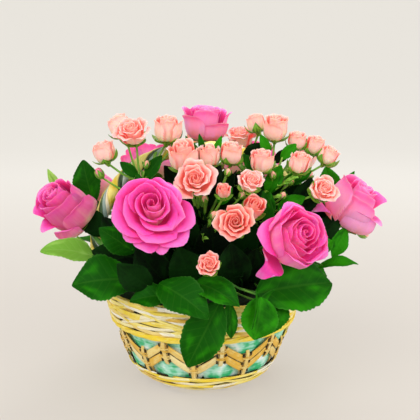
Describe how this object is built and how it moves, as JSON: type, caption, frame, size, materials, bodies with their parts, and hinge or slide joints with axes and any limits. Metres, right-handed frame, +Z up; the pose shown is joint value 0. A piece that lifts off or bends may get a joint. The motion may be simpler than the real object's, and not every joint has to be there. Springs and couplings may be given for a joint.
{
  "type": "flower basket arrangement",
  "caption": "Round splint basket with an arched wrapped handle, filled with hot pink roses, salmon spray roses and leafy stems that stand in flower foam",
  "frame": {"origin": "middle of the flat underside of the basket, on the surface that it stands on", "axes": "+Z up through the basket and the handle, +X to the right along the width, -Y to the front seen in the picture"},
  "size_m": [0.3267, 0.2598, 0.2594],
  "materials": {
    "hot_pink_petals": "soft satin petals, vivid pink with paler lilac rims",
    "salmon_petals": "soft matt petals, peach pink with coral hearts",
    "rose_leaves": "glossy dark green leaf with fine veins",
    "spray_greens": "satin light green stems and sepals",
    "natural_splints": "raw wheat-coloured wood splint",
    "yellow_splints": "yellow dyed wood splint, satin",
    "golden_splints": "golden wood splint, satin",
    "shaving_ribbon": "turquoise green and white streaked wood shaving",
    "wet_foam": "matt dark green wet floral foam"
  },
  "bodies": {
    "root": {"rose_front_left": "hot_pink_petals", "rose_front_right": "hot_pink_petals", "rose_left": "hot_pink_petals", "rose_right": "hot_pink_petals", "rose_top": "hot_pink_petals", "rose_back_left": "hot_pink_petals", "rose_back_right": "hot_pink_petals", "rose_back_low": "hot_pink_petals", "rose_back_side": "hot_pink_petals", "stem_rose_front_left": "rose_leaves", "stem_rose_front_right": "rose_leaves", "stem_rose_left": "rose_leaves", "stem_rose_right": "rose_leaves", "stem_rose_top": "rose_leaves", "stem_rose_back_left": "rose_leaves", "stem_rose_back_right": "rose_leaves", "stem_rose_back_low": "rose_leaves", "stem_rose_back_side": "rose_leaves", "spray_rose_left_back": "salmon_petals", "spray_rose_left_tall": "salmon_petals", "spray_rose_left_side": "salmon_petals", "spray_rose_left_high": "salmon_petals", "spray_rose_middle_left": "salmon_petals", "spray_rose_middle": "salmon_petals", "spray_rose_middle_right": "salmon_petals", "spray_rose_front_open": "salmon_petals", "spray_rose_front_small": "salmon_petals", "spray_rose_front_round": "salmon_petals", "spray_rose_front_behind": "salmon_petals", "spray_rose_front_low": "salmon_petals", "spray_rose_right_front": "salmon_petals", "spray_rose_right_banded": "salmon_petals", "spray_rose_right_high": "salmon_petals", "spray_rose_right_tall": "salmon_petals", "spray_rose_right_upper": "salmon_petals", "spray_rose_right_edge": "salmon_petals", "spray_rose_right_inner": "salmon_petals", "spray_rose_right_open": "salmon_petals", "spray_rose_high_flat": "salmon_petals", "spray_rose_high_pale": "salmon_petals", "spray_rose_back_side": "salmon_petals", "spray_rose_back_edge": "salmon_petals", "spray_rose_back_left": "salmon_petals", "spray_rose_back_high": "salmon_petals", "spray_rose_back_right": "salmon_petals", "spray_stem_left": "spray_greens", "spray_stem_middle": "spray_greens", "spray_stem_right": "spray_greens", "spray_stem_high": "spray_greens", "spray_stem_back": "spray_greens", "leafy_stem_front": "rose_leaves", "basket_foot_and_stakes": "natural_splints", "basket_upper_border": "yellow_splints", "basket_band": "yellow_splints", "basket_zigzag_upper": "golden_splints", "basket_zigzag_lower": "golden_splints", "basket_ribbon_lining": "shaving_ribbon", "flower_foam": "wet_foam", "handle_hoop": "natural_splints", "handle_wrapping": "yellow_splints"}
  },
  "joints": []
}
